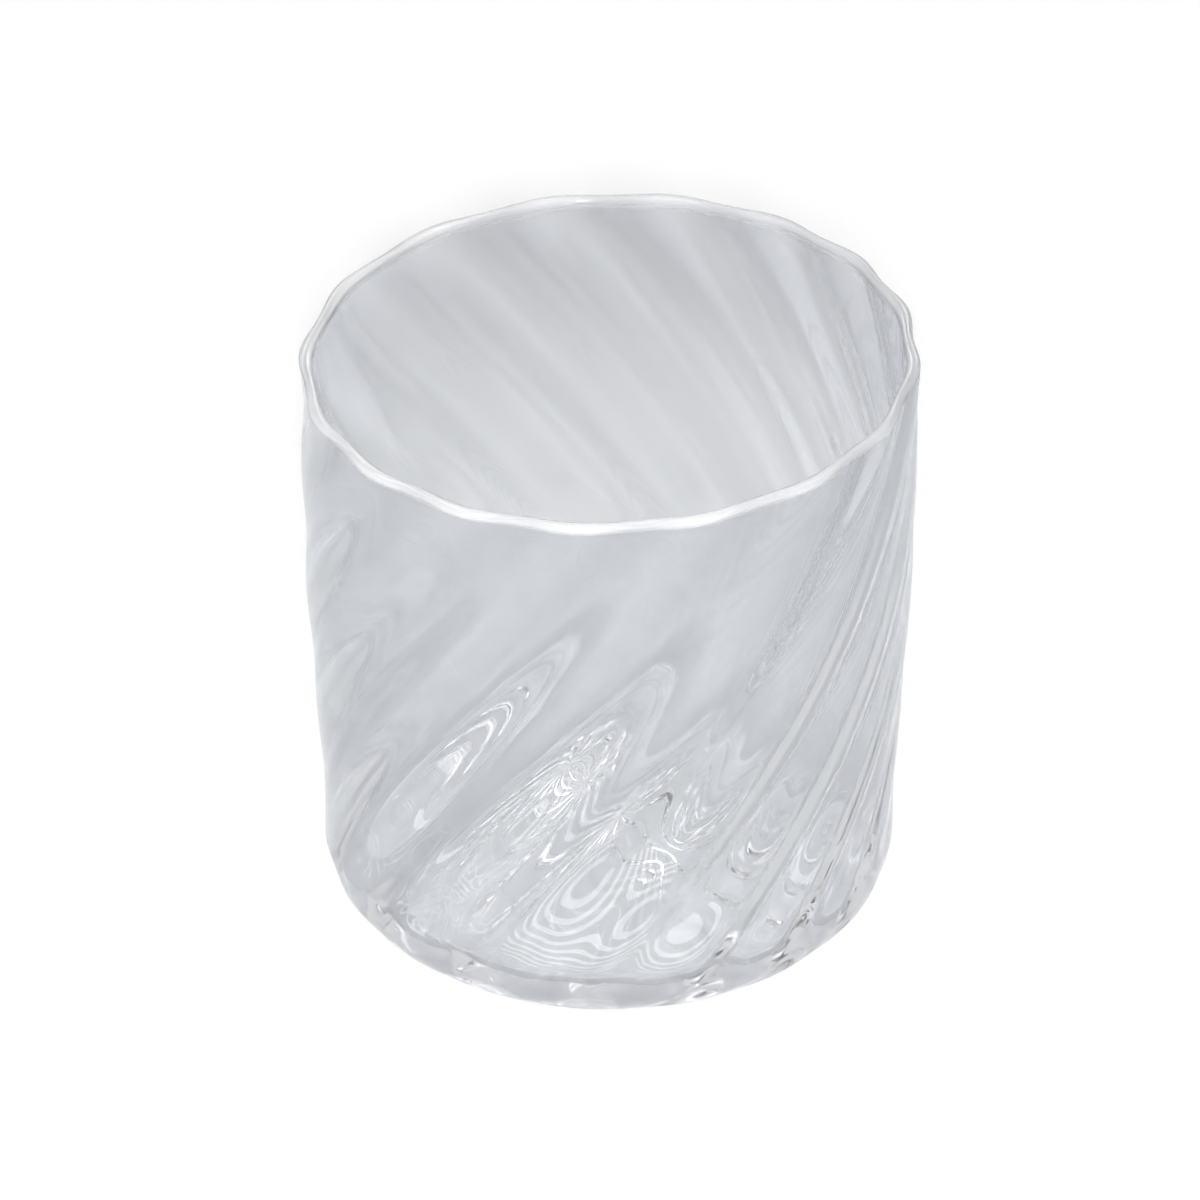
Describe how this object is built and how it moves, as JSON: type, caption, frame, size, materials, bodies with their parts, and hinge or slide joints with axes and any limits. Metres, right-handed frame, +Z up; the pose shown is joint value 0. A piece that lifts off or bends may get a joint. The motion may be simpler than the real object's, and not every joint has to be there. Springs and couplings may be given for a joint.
{
  "type": "tumbler",
  "caption": "Clear blown-glass tumbler with a rounded foot, a wide open mouth and shallow optic ribs that twist up the wall.",
  "frame": {"origin": "middle of the base, on the surface that the glass stands on", "axes": "+Z up through the mouth; the picture looks along +Y from the -Y side and from above, with +X to the right"},
  "size_m": [0.0806, 0.0805, 0.0831],
  "materials": {
    "clear_glass": "clear blown glass, fire-polished, with soft twisted ribs"
  },
  "bodies": {
    "root": {"tumbler": "clear_glass"}
  },
  "joints": []
}
